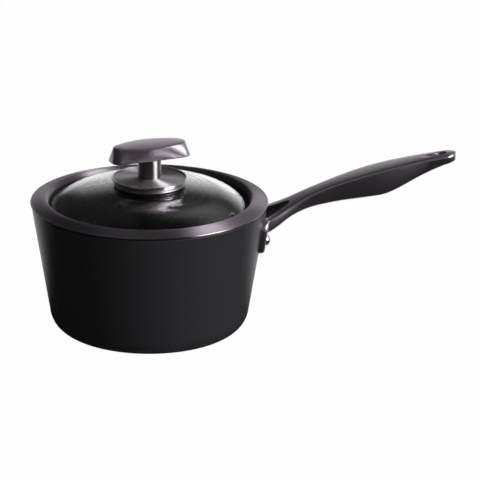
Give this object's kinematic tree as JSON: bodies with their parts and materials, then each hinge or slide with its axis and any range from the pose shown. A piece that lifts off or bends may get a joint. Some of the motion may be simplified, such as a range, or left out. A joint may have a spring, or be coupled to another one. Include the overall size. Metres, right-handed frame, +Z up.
{
  "type": "saucepan with lid",
  "caption": "Tapered aluminium saucepan with a riveted cast long handle, and a domed glass lid with a steel rim, steam vent and bar knob.",
  "frame": {"origin": "centre of the base on the surface the pan stands on, on the pan's axis", "axes": "+Z up along the pan's axis, +X from the axis towards the handle's tip"},
  "size_m": [0.3405, 0.1896, 0.1535],
  "materials": {
    "body_black": "satin hard-anodised outside, fine speckled nonstick inside",
    "base_steel": "turned steel",
    "cast_grey": "satin dark cast metal",
    "rivet_steel": "polished",
    "rim_steel": "brushed round the rim, dark",
    "clear_glass": "clear polished",
    "knob_steel": "turned, with a polished rim",
    "post_steel": "satin dark",
    "silicone": "matt black silicone",
    "brass": "plain machined",
    "screw_steel": "plain zinc-plated"
  },
  "bodies": {
    "pan": {"pan_body": "body_black", "base_plate": "base_steel", "handle": "cast_grey", "rivet_left": "rivet_steel", "rivet_right": "rivet_steel"},
    "lid": {"lid_rim": "rim_steel", "rim_seal": "silicone", "lid_glass": "clear_glass", "vent_eyelet": "rivet_steel", "knob_gasket": "silicone", "knob_collar": "knob_steel", "knob_flange": "knob_steel", "knob_stem": "post_steel", "knob_grip": "cast_grey", "grip_insert": "brass", "knob_screw": "screw_steel", "lock_washer": "screw_steel", "under_washer": "screw_steel", "under_gasket": "silicone"}
  },
  "joints": [
    {"name": "lid_lift", "type": "slide", "parent": "pan", "child": "lid", "axis": [0, 0, 1], "range_m": [0, 0.12]}
  ]
}
